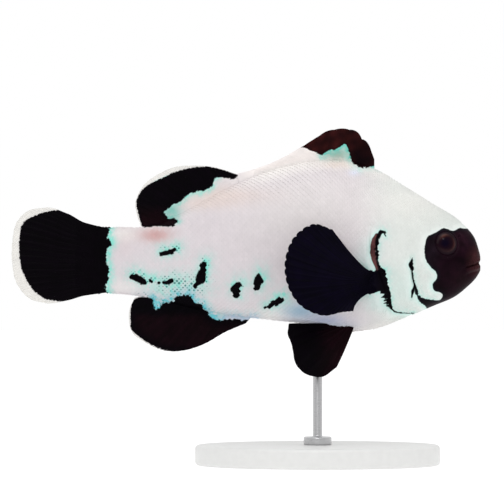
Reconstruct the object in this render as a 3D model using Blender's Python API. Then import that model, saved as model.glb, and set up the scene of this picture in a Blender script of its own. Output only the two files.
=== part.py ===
"""An ocellaris clownfish of a black and white aquarium strain, life size, as a still display model.

The fish faces +X and swims level over a small stand. The origin is on the floor, under the middle of the
whole model. Sizes are in millimetres. A place on the fish is written as its distance behind the nose, its
distance to the left of the middle plane and its height over the body's axis.
"""

import math
from collections import namedtuple

import bmesh
import bpy
import numpy as np
from mathutils import Vector

# Driving dimensions, in millimetres.
TOTAL_LENGTH = 80.0  # nose to the end of the tail fin
AXIS_HEIGHT = 36.0  # body axis over the floor
CUT = 0.25  # width of the cuts that part the body, and of the gap round each fin root
FIN_THICKNESS = 0.55
FIN_STEPS = 5  # faces along each fin ray
MM = 0.001

# Body cross-sections from the nose to the root of the tail fin: distance behind the nose, height of the
# back, of the belly and of the widest level over the axis, and half of the greatest width.
Section = namedtuple("Section", "behind back belly level half_width")
SECTIONS = (
    Section(0.0, -0.5, -2.5, -1.5, 0.7),  # front of the lips
    Section(0.3, 1.0, -3.3, -1.4, 1.5),  # lips
    Section(0.9, 2.8, -4.2, -1.2, 2.2),  # snout
    Section(2.2, 4.6, -5.5, -0.8, 3.1),  # corner of the mouth
    Section(4.5, 6.6, -7.3, -0.4, 4.3),  # front of the eye
    Section(8.0, 8.7, -8.8, 0.0, 5.6),  # back of the eye
    Section(13.0, 11.8, -10.8, 0.2, 6.6),  # cheek
    Section(18.2, 14.8, -12.7, 0.3, 7.0),  # gill opening
    Section(23.6, 16.3, -13.2, 0.3, 6.8),  # root of the pelvic fins
    Section(31.0, 15.8, -12.0, 0.1, 6.1),  # deepest part of the belly
    Section(38.0, 13.8, -11.2, -0.2, 5.1),  # front of the anal fin
    Section(45.0, 10.7, -10.1, -0.5, 4.0),  # flank
    Section(51.5, 7.2, -8.8, -0.7, 2.9),  # back of the soft fins
    Section(57.5, 4.9, -7.6, -0.9, 2.0),  # tail stalk
    Section(62.0, 4.7, -6.9, -1.0, 1.3),  # narrow of the tail stalk
    Section(65.0, 4.9, -6.7, -0.9, 0.7),  # root of the tail fin
)
BODY_LENGTH = SECTIONS[-1].behind
FLANK_PINCH = 1.12  # over 1 draws the flanks in towards a ridge along the back and the belly
RINGS = 40
POINTS_ROUND = 36

# Where the body is parted, as (distance behind the nose, height over the axis).
GILL_EDGE = ((17.8, 19.0), (18.4, 7.0), (19.0, 2.0), (17.5, -2.8), (16.0, -7.5), (14.6, -15.0))
GILL_EDGE_STEPS = 15
TAIL_STALK_FROM = 54.0
GILL_COVER_CENTRE = (15.2, -2.2)
GILL_COVER_HALF = (4.0, 7.4)
GILL_COVER_STEPS = 32
GILL_COVER_INNER = 3.0  # how near the middle plane the gill covers reach
MOUTH_CORNER = (2.6, -2.1)
LIP_LINE_HEIGHT = -1.55
JAW_HINGE_FOOT = (6.2, -10.0)
BEYOND = 30.0  # cutters reach this far past the body

# Eyes.
EYE_PLACE = (6.1, 2.05)
EYE_RADIUS = 2.05
EYE_BULGE = 0.8  # outer half of the eyeball, along its axis
EYE_DEPTH = 1.9  # inner half
EYE_SUNK = 0.3  # centre of the eyeball under the skin
EYE_FORWARD = math.radians(13)
EYE_UPWARD = math.radians(5)
EYE_SEGMENTS = 22

# Roots of the paired fins, from the first ray to the last. The pectoral's are in side view, and the
# pelvic's have their distance to the left too.
PECTORAL_ROOT = ((20.7, -2.5), (20.3, -6.4))
PELVIC_ROOT = ((22.0, 2.0, -13.5), (24.2, 1.7, -13.3))

# Stand.
PELVIC_GAP_AT = 28.0  # the post meets the belly here, between the pelvic fins
BASE_LENGTH, BASE_WIDTH, BASE_HEIGHT = 42.0, 32.0, 3.5
BASE_EDGE, BASE_CHAMFER, BASE_EDGE_STEPS = 0.7, 0.3, 3
POST_RADIUS, POST_FILLET = 0.8, 0.3
COLLAR_RADIUS, COLLAR_HEIGHT, COLLAR_CHAMFER = 2.4, 1.4, 0.4
BASE_SEGMENTS, POST_SEGMENTS = 56, 20

# Colours are linear, then roughness and metallic.
PALE_SKIN = ((0.78, 0.72, 0.73), 0.45, 0.0)
DARK_FACE = ((0.016, 0.008, 0.009), 0.4, 0.0)
BLACK_FIN = ((0.006, 0.005, 0.010), 0.45, 0.0)
EYE_GLASS = ((0.020, 0.009, 0.008), 0.08, 0.0)
BASE_PAINT = ((0.70, 0.70, 0.69), 0.35, 0.0)
POST_STEEL = ((0.55, 0.55, 0.56), 0.3, 1.0)


def clear_scene():
    for old in list(bpy.data.objects):
        bpy.data.objects.remove(old)


def material(name, look):
    colour, roughness, metallic = look
    made = bpy.data.materials.new(name)
    made.use_nodes = True
    shader = made.node_tree.nodes["Principled BSDF"]
    shader.inputs["Base Color"].default_value = (*colour, 1.0)
    shader.inputs["Roughness"].default_value = roughness
    shader.inputs["Metallic"].default_value = metallic
    return made


def place(behind, left, height):
    """A point of the fish in metres."""
    return Vector((TOTAL_LENGTH / 2 - behind, left, AXIS_HEIGHT + height)) * MM


def curve(stops, values, at):
    """A smooth curve that takes each of the values at its stop."""
    steps = np.diff(stops)
    slopes = np.diff(values) / steps
    bends = np.empty(len(values))
    bends[0], bends[-1] = slopes[0], slopes[-1]
    bends[1:-1] = (slopes[:-1] * steps[1:] + slopes[1:] * steps[:-1]) / (steps[:-1] + steps[1:])
    at = min(max(at, stops[0]), stops[-1])
    i = min(int(np.searchsorted(stops, at, side="right")) - 1, len(steps) - 1)
    t = (at - stops[i]) / steps[i]
    return float(
        values[i] * (1 + 2 * t) * (1 - t) ** 2
        + bends[i] * steps[i] * t * (1 - t) ** 2
        + values[i + 1] * t * t * (3 - 2 * t)
        + bends[i + 1] * steps[i] * t * t * (t - 1)
    )


def evenly(values, share):
    """The same for values at even steps, at a share of the way through them."""
    return curve(np.linspace(0.0, 1.0, len(values)), np.array(values), share)


def section(behind):
    """The body's cross-section there, smooth in the root of the distance: that makes the nose blunt."""
    known = np.array(SECTIONS)
    stops = np.sqrt(known[:, 0])
    sizes = [curve(stops, known[:, i], math.sqrt(behind)) for i in range(1, known.shape[1])]
    return Section(behind, *sizes)


def flank_point(behind, angle):
    """A point on the skin. Angle 0 is the left side's widest level, and a quarter turn is the back."""
    s = section(behind)
    across, up = math.cos(angle), math.sin(angle)
    left = s.half_width * math.copysign(abs(across) ** FLANK_PINCH, across)
    reach = s.back - s.level if up > 0 else s.level - s.belly
    return place(behind, left, s.level + reach * up)


def flank_width(behind, height):
    """Half of the body's width at that height."""
    s = section(behind)
    reach = s.back - s.level if height > s.level else s.level - s.belly
    up = min(abs(height - s.level) / reach, 1.0)
    return s.half_width * (1 - up * up) ** (FLANK_PINCH / 2)


def turns(count):
    """Even steps of a whole turn."""
    return [2 * math.pi * k / count for k in range(count)]


def new_object(name, bm, look=None):
    mesh = bpy.data.meshes.new(name)
    bm.to_mesh(mesh)
    bm.free()
    made = bpy.data.objects.new(name, mesh)
    bpy.context.scene.collection.objects.link(made)
    if look is not None:
        mesh.materials.append(look)
    mesh.shade_smooth()
    return made


def whole_body(name, look):
    """The body from lips to tail root in one closed loft, before it is parted."""
    bm = bmesh.new()
    rings = []
    for i in range(RINGS + 1):
        behind = BODY_LENGTH * (i / RINGS) ** 2
        rings.append([bm.verts.new(flank_point(behind, turn)) for turn in turns(POINTS_ROUND)])
    for front, rear in zip(rings, rings[1:]):
        for k in range(POINTS_ROUND):
            n = (k + 1) % POINTS_ROUND
            bm.faces.new((front[k], front[n], rear[n], rear[k]))
    bm.faces.new(rings[0])
    bm.faces.new(rings[-1])
    bmesh.ops.recalc_face_normals(bm, faces=bm.faces)
    return new_object(name, bm, look)


def side_cutter(name, outline, left_from=-BEYOND, left_to=BEYOND):
    """A hidden prism with an outline given in side view, running across the fish."""
    bm = bmesh.new()
    near = bm.faces.new([bm.verts.new(place(d, left_from, h)) for d, h in outline])
    far = bmesh.ops.extrude_face_region(bm, geom=[near])
    across = place(0, left_to, 0) - place(0, left_from, 0)
    moved = [v for v in far["geom"] if isinstance(v, bmesh.types.BMVert)]
    bmesh.ops.translate(bm, verts=moved, vec=across)
    bmesh.ops.recalc_face_normals(bm, faces=bm.faces)
    return hidden(new_object(name, bm))


def hidden(helper):
    helper.hide_render = True
    helper.display_type = "WIRE"
    return helper


def boolean(target, cutter, operation):
    cut = target.modifiers.new(cutter.name, "BOOLEAN")
    cut.operation = operation
    cut.object = cutter


def gill_edge(shift):
    """The rear edge of the head, from back to belly, moved towards the tail by shift."""
    shares = np.linspace(0.0, 1.0, GILL_EDGE_STEPS)
    behinds, heights = zip(*GILL_EDGE)
    return [(evenly(behinds, share) + shift, evenly(heights, share)) for share in shares]


def ahead_of_gills(name, shift):
    """All of the body ahead of the gill edge."""
    return side_cutter(name, [(-BEYOND, GILL_EDGE[0][1]), *gill_edge(shift), (-BEYOND, GILL_EDGE[-1][1])])


def behind_line(name, behind):
    """All of the body further back than a distance behind the nose."""
    far = BODY_LENGTH + BEYOND
    return side_cutter(name, [(behind, BEYOND), (far, BEYOND), (far, -BEYOND), (behind, -BEYOND)])


def gill_cover_block(name, side, grow):
    """An elliptic block outside the gills of one side, with side +1 on the left."""
    outline = []
    for turn in turns(GILL_COVER_STEPS):
        behind = GILL_COVER_CENTRE[0] + (GILL_COVER_HALF[0] + grow) * math.cos(turn)
        height = GILL_COVER_CENTRE[1] + (GILL_COVER_HALF[1] + grow) * math.sin(turn)
        outline.append((behind, height))
    inner = side * (GILL_COVER_INNER - grow)
    return side_cutter(name, outline, inner, side * BEYOND)


def jaw_wedge(name, grow):
    """The space of the lower jaw, under the lip line and ahead of the jaw's hinge."""
    front = (-BEYOND, LIP_LINE_HEIGHT + grow)
    corner = (MOUTH_CORNER[0] + grow, MOUTH_CORNER[1] + grow)
    foot = (JAW_HINGE_FOOT[0] + grow, JAW_HINGE_FOOT[1])
    return side_cutter(name, [front, corner, foot, (-BEYOND, JAW_HINGE_FOOT[1])])


def eyeball(name, side, grow, look=None):
    """An eye lying along its own axis, rounder inside the head than outside."""
    bm = bmesh.new()
    bmesh.ops.create_uvsphere(bm, u_segments=EYE_SEGMENTS, v_segments=EYE_SEGMENTS // 2, radius=1.0)
    wide = (EYE_RADIUS + grow) * MM
    for v in bm.verts:
        deep = EYE_BULGE if v.co.z > 0 else EYE_DEPTH
        v.co = (v.co.x * wide, v.co.y * wide, v.co.z * (deep + grow) * MM)
    made = new_object(name, bm, look)
    behind, height = EYE_PLACE
    made.location = place(behind, side * (flank_width(behind, height) - EYE_SUNK), height)
    facing = Vector((math.sin(EYE_FORWARD), side * math.cos(EYE_FORWARD), math.sin(EYE_UPWARD)))
    made.rotation_mode = "QUATERNION"
    made.rotation_quaternion = facing.to_track_quat("Z", "Y")
    return made


def build_body(pale, dark, glass):
    """Head, lower jaw, gill covers, trunk and tail stalk, all cut from one body, and the eyes."""
    head = whole_body("head", dark)
    boolean(head, ahead_of_gills("cut_head_rear", -CUT / 2), "INTERSECT")
    boolean(head, jaw_wedge("cut_jaw_space", CUT), "DIFFERENCE")
    for side, word in ((1, "left"), (-1, "right")):
        cover = whole_body(f"gill_cover_{word}", pale)
        boolean(cover, gill_cover_block(f"cut_cover_{word}", side, 0.0), "INTERSECT")
        boolean(cover, bpy.data.objects["cut_head_rear"], "INTERSECT")
        boolean(head, gill_cover_block(f"cut_gill_space_{word}", side, CUT), "DIFFERENCE")
        boolean(head, hidden(eyeball(f"cut_socket_{word}", side, CUT)), "DIFFERENCE")
        eyeball(f"eye_{word}", side, 0.0, glass)
    jaw = whole_body("lower_jaw", dark)
    boolean(jaw, jaw_wedge("cut_jaw", 0.0), "INTERSECT")
    trunk = whole_body("trunk", pale)
    boolean(trunk, ahead_of_gills("cut_trunk_front", CUT / 2), "DIFFERENCE")
    boolean(trunk, behind_line("cut_trunk_rear", TAIL_STALK_FROM - CUT / 2), "DIFFERENCE")
    stalk = whole_body("tail_stalk", pale)
    boolean(stalk, behind_line("cut_stalk", TAIL_STALK_FROM + CUT / 2), "INTERSECT")


def fin(name, look, rays, root, tips, lefts=(0.0, 0.0)):
    """A fin as a thin solid fan. root gives the foot of the ray at a share of the way from the first ray
    to the last. tips are the ends of evenly spaced rays in side view, and lefts how far out they stand."""
    bm = bmesh.new()
    grid = []
    for i in range(rays):
        share = i / (rays - 1)
        foot = root(share)
        behinds, heights = zip(*tips)
        tip = place(evenly(behinds, share), evenly(lefts, share), evenly(heights, share))
        grid.append([bm.verts.new(foot.lerp(tip, k / FIN_STEPS)) for k in range(FIN_STEPS + 1)])
    for ray, following in zip(grid, grid[1:]):
        for k in range(FIN_STEPS):
            bm.faces.new((ray[k], ray[k + 1], following[k + 1], following[k]))
    bmesh.ops.recalc_face_normals(bm, faces=bm.faces)
    made = new_object(name, bm, look)
    thicken = made.modifiers.new("thickness", "SOLIDIFY")
    thicken.thickness = FIN_THICKNESS * MM
    thicken.offset = 0.0
    return made


def along_back(first, last):
    """Roots of a fin that stands on the back."""
    return lambda share: on_edge(first + (last - first) * share, "back", CUT)


def along_belly(first, last):
    return lambda share: on_edge(first + (last - first) * share, "belly", -CUT)


def along(ends, share):
    """The point at a share of the way between two points."""
    return [first + (last - first) * share for first, last in zip(*ends)]


def on_edge(behind, edge, gap):
    return place(behind, 0.0, getattr(section(behind), edge) + gap)


def build_median_fins(black):
    """Dorsal fin in its spiny and its soft part, anal fin and tail fin."""
    spiny_tips = ((18.6, 18.8), (21.2, 21.1), (24.9, 21.7), (29.2, 19.7), (34.8, 16.2), (41.3, 14.4))
    fin("dorsal_fin_spiny", black, 22, along_back(18.4, 40.8), spiny_tips)
    soft_tips = (
        (41.9, 14.4), (46.6, 15.3), (51.4, 15.4), (55.6, 14.0), (58.7, 11.3), (59.6, 8.2), (58.4, 5.2)
    )
    fin("dorsal_fin_soft", black, 20, along_back(41.3, 55.9), soft_tips)
    anal_tips = (
        (41.0, -12.2), (45.6, -14.6), (50.4, -16.7), (54.9, -16.8), (58.8, -15.1), (60.6, -12.2),
        (60.1, -9.0), (58.0, -7.9),
    )
    fin("anal_fin", black, 20, along_belly(38.8, 56.2), anal_tips)
    tail_tips = (
        (74.6, 8.4), (77.6, 7.7), (79.4, 5.4), (80.0, 1.9), (80.0, -1.4), (79.4, -4.6), (77.3, -7.4),
        (74.0, -8.4),
    )
    root = SECTIONS[-1]
    tail_root = BODY_LENGTH + CUT

    def tail_foot(share):
        return place(tail_root, 0.0, root.back + (root.belly - root.back) * share)

    fin("tail_fin", black, 24, tail_foot, tail_tips)


def build_paired_fins(black):
    """Pectoral fins, spread from behind the gill covers, and pelvic fins, hanging under the chest."""
    pectoral_tips = (
        (28.0, 4.9), (31.8, 3.6), (33.6, -0.2), (33.4, -4.6), (31.2, -8.3), (27.4, -10.0), (23.6, -9.8),
        (21.6, -8.4),
    )
    pectoral_lefts = (12.0, 13.6, 14.4, 14.6, 14.0, 12.4, 10.2, 8.6)
    pelvic_tips = (
        (25.4, -19.4), (27.9, -21.0), (30.8, -20.1), (32.0, -17.4), (32.7, -14.4), (33.1, -12.3)
    )
    pelvic_lefts = (4.2, 4.4, 4.2, 3.7, 3.1, 2.5)
    for side, word in ((1, "left"), (-1, "right")):

        def pectoral_foot(share, side=side):
            behind, height = along(PECTORAL_ROOT, share)
            return place(behind, side * (flank_width(behind, height) + CUT + FIN_THICKNESS / 2), height)

        def pelvic_foot(share, side=side):
            behind, left, height = along(PELVIC_ROOT, share)
            return place(behind, side * left, height)

        outward = [side * left for left in pectoral_lefts]
        fin(f"pectoral_fin_{word}", black, 26, pectoral_foot, pectoral_tips, outward)
        outward = [side * left for left in pelvic_lefts]
        fin(f"pelvic_fin_{word}", black, 16, pelvic_foot, pelvic_tips, outward)


def turned(name, profile, segments, centre_x, look):
    """A turned solid on a vertical axis from (radius, height) pairs, foot first, in millimetres."""
    bm = bmesh.new()
    rings = []
    for radius, height in profile:
        ring = [Vector((radius * math.cos(t), radius * math.sin(t), height)) * MM for t in turns(segments)]
        rings.append([bm.verts.new(point) for point in ring])
    for lower, upper in zip(rings, rings[1:]):
        for k in range(segments):
            n = (k + 1) % segments
            bm.faces.new((lower[k], lower[n], upper[n], upper[k]))
    bm.faces.new(rings[0])
    bm.faces.new(rings[-1])
    bmesh.ops.recalc_face_normals(bm, faces=bm.faces)
    made = new_object(name, bm, look)
    made.location.x = centre_x
    made.data.set_sharp_from_angle(angle=math.radians(35))
    return made


def build_stand(paint, steel):
    """An oval base plate with an eased upper edge, and one turned post with a collar at its foot."""
    centre_x = place(PELVIC_GAP_AT, 0, 0).x
    half = BASE_LENGTH / 2
    rim = [(half - BASE_CHAMFER, 0.0), (half, BASE_CHAMFER)]
    for step in range(BASE_EDGE_STEPS + 1):
        turn = step / BASE_EDGE_STEPS * math.pi / 2
        inward, down = BASE_EDGE * (1 - math.cos(turn)), BASE_EDGE * (1 - math.sin(turn))
        rim.append((half - inward, BASE_HEIGHT - down))
    base = turned("stand_base", rim, BASE_SEGMENTS, centre_x, paint)
    for v in base.data.vertices:
        v.co.y *= BASE_WIDTH / BASE_LENGTH
    foot = BASE_HEIGHT + CUT
    top = foot + COLLAR_HEIGHT
    post = [
        (COLLAR_RADIUS, foot),
        (COLLAR_RADIUS, top - COLLAR_CHAMFER),
        (COLLAR_RADIUS - COLLAR_CHAMFER, top),
        (POST_RADIUS + POST_FILLET, top),
        (POST_RADIUS, top + POST_FILLET),
        (POST_RADIUS, on_edge(PELVIC_GAP_AT, "belly", -CUT).z / MM),
    ]
    turned("stand_post", post, POST_SEGMENTS, centre_x, steel)


clear_scene()
build_body(
    material("pale_skin", PALE_SKIN), material("dark_face", DARK_FACE), material("eye_glass", EYE_GLASS)
)
fin_black = material("black_fin", BLACK_FIN)
build_median_fins(fin_black)
build_paired_fins(fin_black)
build_stand(material("base_paint", BASE_PAINT), material("post_steel", POST_STEEL))
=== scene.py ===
import math

import bpy
import numpy as np
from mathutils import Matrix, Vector


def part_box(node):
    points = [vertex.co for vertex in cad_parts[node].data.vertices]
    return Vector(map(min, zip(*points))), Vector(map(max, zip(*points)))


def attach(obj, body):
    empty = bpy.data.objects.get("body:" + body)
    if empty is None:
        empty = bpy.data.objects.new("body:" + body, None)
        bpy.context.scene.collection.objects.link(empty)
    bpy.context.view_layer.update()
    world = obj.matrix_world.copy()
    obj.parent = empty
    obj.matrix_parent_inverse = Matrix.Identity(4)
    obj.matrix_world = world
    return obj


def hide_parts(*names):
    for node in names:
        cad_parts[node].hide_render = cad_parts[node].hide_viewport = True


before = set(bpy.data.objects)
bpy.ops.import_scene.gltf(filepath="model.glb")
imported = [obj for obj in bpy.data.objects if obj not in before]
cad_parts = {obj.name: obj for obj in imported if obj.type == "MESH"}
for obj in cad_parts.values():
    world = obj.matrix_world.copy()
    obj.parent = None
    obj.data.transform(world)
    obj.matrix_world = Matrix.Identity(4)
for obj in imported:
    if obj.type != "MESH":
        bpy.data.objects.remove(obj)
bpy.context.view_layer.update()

bpy.ops.object.select_all(action="DESELECT")
rng = np.random.default_rng(7)


# ------------------------------------------------
# THE VIEW
# A long lens looks square at the fish's right side, level with the middle of its body, as when a fish is
# posed in a narrow glass tank. Lengths here are millimetres, and place() turns them into the model's metres.
MM = 0.001
NOSE_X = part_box("head")[1].x
AXIS_Z = 0.036  # height of the body's axis over the floor, as in the solids
LENS_DISTANCE = 0.7
LENS_FORWARD, LENS_OVER_AXIS = 0.00077, 0.0005
PICTURE_WIDTH = 0.0863  # what the lens takes in at the fish
SENSOR_WIDTH = 36.0


def place(behind, left, height):
    """Points in metres from their distance behind the nose, to the left of the middle and over the axis."""
    behind, left, height = np.broadcast_arrays(behind, left, height)
    return np.stack([NOSE_X - behind * MM, left * MM, AXIS_Z + height * MM], axis=-1)


lens = (LENS_FORWARD, -LENS_DISTANCE, AXIS_Z + LENS_OVER_AXIS)
bpy.ops.object.camera_add(location=lens, rotation=(math.pi / 2, 0, 0))
camera = bpy.context.object
camera.data.sensor_width = SENSOR_WIDTH
camera.data.lens = SENSOR_WIDTH * LENS_DISTANCE / PICTURE_WIDTH
camera.data.clip_start = 0.01
bpy.context.scene.camera = camera


# ------------------------------------------------
# THE FLOOR AND THE LIGHT
# A white sheet of board that runs out of sight, under a white light tent. The tent is a little darker on the
# camera's side, so the flanks turn grey towards the middle and bright along the back and the belly.
FLOOR_RADIUS = 1.2
TENT_FRONT, TENT_BACK, TENT_TOP = 0.42, 0.85, 0.35  # brightness of the walls, and what the top adds
WHITE_LIGHT = (1, 1, 1, 1)


def feed(node, feeds):
    """Gives a node's inputs their values, or links them to the nodes or outputs that feed them."""
    for name, value in feeds.items():
        if isinstance(value, bpy.types.Node):
            value = next(output for output in value.outputs if output.enabled)
        if isinstance(value, bpy.types.NodeSocket):
            node.id_data.links.new(value, node.inputs[name])
        else:
            node.inputs[name].default_value = value


def add(tree, kind, feeds, **settings):
    """A new shader node with those settings and inputs."""
    node = tree.nodes.new("ShaderNode" + kind)
    for name, value in settings.items():
        setattr(node, name, value)
    feed(node, feeds)
    return node


def calculate(tree, operation, *values):
    return add(tree, "Math", dict(enumerate(values)), operation=operation)


def principled(name, looks):
    """A new material with its node tree and its shader, which every finish here starts from."""
    finish = bpy.data.materials.new(name)
    finish.use_nodes = True
    shader = finish.node_tree.nodes["Principled BSDF"]
    feed(shader, looks)
    return finish, finish.node_tree, shader


bpy.ops.mesh.primitive_circle_add(vertices=128, radius=FLOOR_RADIUS, fill_type="NGON")
floor = bpy.context.object
floor.name = "floor_board"
board, _, _ = principled("white_board", {
    "Base Color": (0.55, 0.55, 0.55, 1), "Roughness": 0.9, "Specular IOR Level": 0.1,
    "Emission Color": WHITE_LIGHT, "Emission Strength": 0.62,
})
floor.data.materials.append(board)

scene = bpy.context.scene
scene.view_settings.view_transform = "Standard"
tent = bpy.data.worlds.new("light_tent")
tent.use_nodes = True
scene.world = tent
tree = tent.node_tree
way = add(tree, "SeparateXYZ", {"Vector": add(tree, "TexCoord", {}).outputs["Generated"]})
wall = {"Value": way.outputs["Y"], "From Min": -1.0, "To Min": TENT_FRONT, "To Max": TENT_BACK}
roofed = calculate(tree, "MULTIPLY_ADD", way.outputs["Z"], TENT_TOP, add(tree, "MapRange", wall))
shown = calculate(tree, "MAXIMUM", roofed, add(tree, "LightPath", {}))
feed(tree.nodes["Background"], {"Strength": shown, "Color": WHITE_LIGHT})

for name, spot, size, power in (
    ("soft_box_top", (0.0, -0.14, 0.42), 0.32, 0.42),
    ("soft_box_front", (-0.06, -0.5, 0.3), 0.25, 0.42),
    ("catch_light", (0.286, -0.45, 0.352), 0.07, 0.14),
):
    aim = (Vector((0, 0, AXIS_Z)) - Vector(spot)).to_track_quat("-Z", "Y").to_euler()
    bpy.ops.object.light_add(type="AREA", location=spot, rotation=aim)
    box = bpy.context.object
    box.name = name
    box.data.size = size
    box.data.energy = power


# ------------------------------------------------
# THE SKIN
# One closed skin from the lips to the root of the tail fin, in place of the solids of flesh. It is a ball
# drawn out over the body's cross-sections, with the lips, eye sockets, nostrils, cheek and gill opening
# pressed into it. It lies under the solids' surface by the depth of the scales.

# Columns: distance behind the nose, height of the back, of the belly and of the widest level over the axis,
# and half of the greatest width.
SECTIONS = np.array(
    (
        (0.0, -0.5, -2.5, -1.5, 0.7),  # front of the lips
        (0.3, 1.0, -3.3, -1.4, 1.5),  # lips
        (0.9, 2.8, -4.2, -1.2, 2.2),  # snout
        (2.2, 4.6, -5.5, -0.8, 3.1),  # corner of the mouth
        (4.5, 6.6, -7.3, -0.4, 4.3),  # front of the eye
        (8.0, 8.7, -8.8, 0.0, 5.6),  # back of the eye
        (13.0, 11.8, -10.8, 0.2, 6.6),  # cheek
        (18.2, 14.8, -12.7, 0.3, 7.0),  # gill opening
        (23.6, 16.3, -13.2, 0.3, 6.8),  # root of the pelvic fins
        (31.0, 15.8, -11.75, 0.1, 6.1),  # deepest part of the belly
        (38.0, 13.8, -11.0, -0.2, 5.1),  # front of the anal fin
        (45.0, 10.7, -10.1, -0.5, 4.0),  # flank
        (51.5, 7.2, -8.8, -0.7, 2.9),  # back of the soft fins
        (57.5, 4.9, -7.3, -0.9, 2.0),  # tail stalk
        (62.0, 4.8, -6.7, -1.0, 1.3),  # narrow of the tail stalk
        (65.0, 4.8, -6.6, -0.9, 0.75),  # root of the tail fin
        (67.5, 5.2, -6.7, -0.8, 0.1),  # where the skin has run out onto the fin
    )
)
FLANK_PINCH = 1.12  # over 1 draws the flanks in towards a ridge along the back and the belly
SCALE_DEPTH = 0.14
SKIN_RINGS, SKIN_ROUND = 330, 264

GILL_EDGE = np.array(((17.8, 19.0), (18.4, 7.0), (19.0, 2.0), (17.5, -2.8), (16.0, -7.5), (14.6, -15.0)))
CHEEK_EDGE = ((12.2, 1.8), (12.0, -1.7), (11.7, -4.3), (11.1, -6.4), (10.2, -7.6))
MOUTH_FRONT, MOUTH_CORNER = (0.0, -1.4), (2.5, -2.15)
EYE = np.array((6.25, 1.95))  # distance behind the nose, height
EYE_RADIUS, EYE_SUNK = 2.0, 0.3
EYE_FORWARD, EYE_UPWARD = math.radians(19), math.radians(9)
NOSTRIL = np.array((3.7, 3.3))
PECTORAL_BASE = (19.3, -4.4)


def curve(stops, values, at):
    """A smooth curve that takes each of the values at its stop."""
    steps = np.diff(stops)
    slopes = np.diff(values) / steps
    bends = np.concatenate([slopes[:1], np.zeros(len(steps) - 1), slopes[-1:]])
    bends[1:-1] = (slopes[:-1] * steps[1:] + slopes[1:] * steps[:-1]) / (steps[:-1] + steps[1:])
    at = np.clip(at, stops[0], stops[-1])
    i = np.clip(np.searchsorted(stops, at, side="right") - 1, 0, len(steps) - 1)
    t = (at - stops[i]) / steps[i]
    held = values[i] * (1 + 2 * t) * (1 - t) ** 2 + values[i + 1] * t * t * (3 - 2 * t)
    return held + steps[i] * t * (1 - t) * (bends[i] * (1 - t) - bends[i + 1] * t)


def evenly(values, share):
    """The same for values at even steps, at a share of the way through them."""
    return curve(np.linspace(0, 1, len(values)), np.array(values, float), share)


def section(behind):
    """Back, belly, widest level and half-width of the body there."""
    root = np.sqrt(np.maximum(behind, 0))
    return [curve(np.sqrt(SECTIONS[:, 0]), SECTIONS[:, i], root) for i in range(1, 5)]


def flank(behind, turn):
    """Points of the plain body. Turn 0 is the left side's widest level, and a quarter turn is the back."""
    back, belly, level, half = section(behind)
    across, up = np.cos(turn), np.sin(turn)
    left = half * np.sign(across) * np.abs(across) ** FLANK_PINCH
    return np.stack([behind, left, level + np.where(up > 0, back - level, level - belly) * up], axis=-1)


def unit(ways):
    return ways / np.maximum(np.linalg.norm(ways, axis=-1, keepdims=True), 1e-9)


def outward(behind, turn, step=0.01):
    """The outward direction of the plain body's surface there."""
    along = flank(np.maximum(behind, 0.02) + step, turn) - flank(np.maximum(behind, 0.02) - step, turn)
    return unit(np.cross(flank(behind, turn + step) - flank(behind, turn - step), along))


def ease(low, high, value):
    """Rises smoothly from 0 at low to 1 at high."""
    t = np.clip((value - low) / (high - low), 0, 1)
    return t * t * (3 - 2 * t)


def bell(value, width):
    return np.exp(-((value / width) ** 2))


def flank_width(behind, height):
    """Half of the plain body's width at that height."""
    back, belly, level, half = section(behind)
    up = (height - level) / np.where(height > level, back - level, belly - level)
    return half * np.clip(1 - up * up, 0, 1) ** (FLANK_PINCH / 2)


def legs(points, line):
    """For each leg of a line, how far along it (0 to 1) and away from it the side-view points lie."""
    line = np.array(line, float)[:, :2]
    for start, end in zip(line, line[1:]):
        way = end - start
        t = np.clip((points - start) @ way / (way @ way), 0, 1)
        yield t, np.linalg.norm(points - start - t[:, None] * way, axis=1)


def distance_to_line(points, line):
    nearest = np.full(len(points), np.inf)
    for _, gap in legs(points, line):
        nearest = np.minimum(nearest, gap)
    return nearest


def side_view(points):
    """Distances behind the nose and heights as the lens sees them, where near parts spread."""
    spread = 1 + np.abs(points[:, 1]) * MM / LENS_DISTANCE
    middle = np.array((NOSE_X / MM, 0.0))
    return middle + (points[:, (0, 2)] - middle) * spread[:, None]


def past_gill_edge(points):
    """How far behind the gill cover's rear edge a side-view point lies. It is negative on the head."""
    stops = np.linspace(1, 0, 60)
    behind, height = (evenly(GILL_EDGE[:, i], stops) for i in (0, 1))
    return points[:, 0] - np.interp(points[:, 1], height, behind)


def eye_axis(side):
    return np.array((-math.sin(EYE_FORWARD), side * math.cos(EYE_FORWARD), math.sin(EYE_UPWARD)))


def eye_centre(side):
    return np.array((EYE[0], side * (flank_width(EYE[0], EYE[1]) - EYE_SUNK), EYE[1]))


def lip_folds(behind, left, height):
    """Fine folds that run round the mouth."""
    return np.sin(np.hypot(behind, 0.9 * left) * 15 + 1.4 * np.sin(3 * height))


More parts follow.
